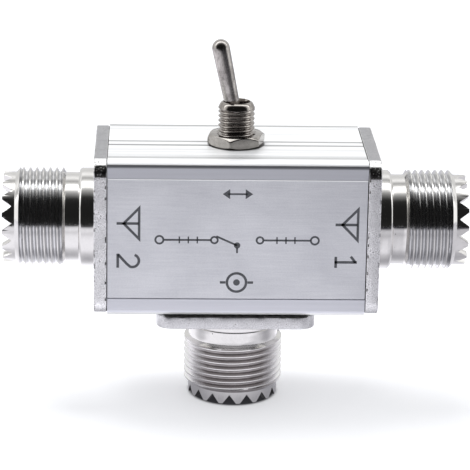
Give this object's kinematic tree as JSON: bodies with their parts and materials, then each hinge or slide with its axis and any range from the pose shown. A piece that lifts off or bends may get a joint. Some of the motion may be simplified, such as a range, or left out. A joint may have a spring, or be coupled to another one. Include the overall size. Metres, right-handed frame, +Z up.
{
  "type": "coaxial antenna switch",
  "caption": "Manual changeover switch that joins a radio's coaxial socket, underneath, to an aerial socket at either end of a small square metal case, by a toggle lever on top.",
  "frame": {"origin": "centre of the ring of teeth of the lower socket, on which the switch stands", "axes": "+Z up, out of the toggle bushing; +X from the left aerial socket to the right one; -Y out of the labelled front face"},
  "size_m": [0.0738, 0.025, 0.0583],
  "materials": {
    "case_aluminium": "satin, bright drawn",
    "label_foil": "fine satin",
    "socket_plating": "bright plated, turned",
    "insulator_white": "smooth",
    "contact_silver": "bright plated",
    "ring_steel": "spring steel",
    "screw_steel": "zinc plated",
    "switch_nickel": "nickel plated",
    "frame_steel": "tinned",
    "moulding_blue": "smooth",
    "terminal_silver": "silver plated",
    "plunger_nylon": "smooth",
    "spring_steel": "drawn wire",
    "rocker_brass": "rolled",
    "wire_tinned": "tinned copper",
    "solder_tin": "smooth solder"
  },
  "bodies": {
    "case": {"case_extrusion": "case_aluminium", "front_label_plate": "label_foil", "ant1_socket_shell": "socket_plating", "ant1_front_insulator": "insulator_white", "ant1_rear_insulator": "insulator_white", "ant1_centre_contact": "contact_silver", "ant1_snap_ring": "ring_steel", "ant1_flange_screws": "screw_steel", "ant2_socket_shell": "socket_plating", "ant2_front_insulator": "insulator_white", "ant2_rear_insulator": "insulator_white", "ant2_centre_contact": "contact_silver", "ant2_snap_ring": "ring_steel", "ant2_flange_screws": "screw_steel", "radio_socket_shell": "socket_plating", "radio_front_insulator": "insulator_white", "radio_rear_insulator": "insulator_white", "radio_centre_contact": "contact_silver", "radio_snap_ring": "ring_steel", "radio_flange_screws": "screw_steel", "switch_bushing": "switch_nickel", "switch_frame": "frame_steel", "switch_case": "moulding_blue", "common_terminal": "terminal_silver", "left_terminal": "terminal_silver", "right_terminal": "terminal_silver", "switch_lock_washer": "ring_steel", "switch_hex_nut": "switch_nickel", "ant1_link_wire": "wire_tinned", "ant2_link_wire": "wire_tinned", "radio_link_wire": "wire_tinned", "solder_joints": "solder_tin"},
    "lever": {"toggle_lever": "switch_nickel", "plunger_spring": "spring_steel"},
    "plunger": {"lever_plunger": "plunger_nylon"},
    "rocker": {"rocker_contact": "rocker_brass"}
  },
  "joints": [
    {"name": "lever_tilt", "type": "hinge", "parent": "case", "child": "lever", "pos_m": [0, 0, 0.04465], "axis": [0, 1, 0], "range_deg": [0, 24]},
    {"name": "contact_rock", "type": "hinge", "parent": "case", "child": "rocker", "pos_m": [0, 0, 0.0359], "axis": [0, 1, 0], "range_deg": [-16, 0]},
    {"name": "plunger_slide", "type": "slide", "parent": "lever", "child": "plunger", "axis": [-0.2079, 0, 0.9781], "range_m": [0, 0.0004], "stiffness_N_per_m": 50, "springref_m": -0.002, "deforming": ["plunger_spring"]}
  ],
  "couplings": [
    {"joint": "contact_rock", "follows": "lever_tilt", "ratio": -0.6666}
  ]
}
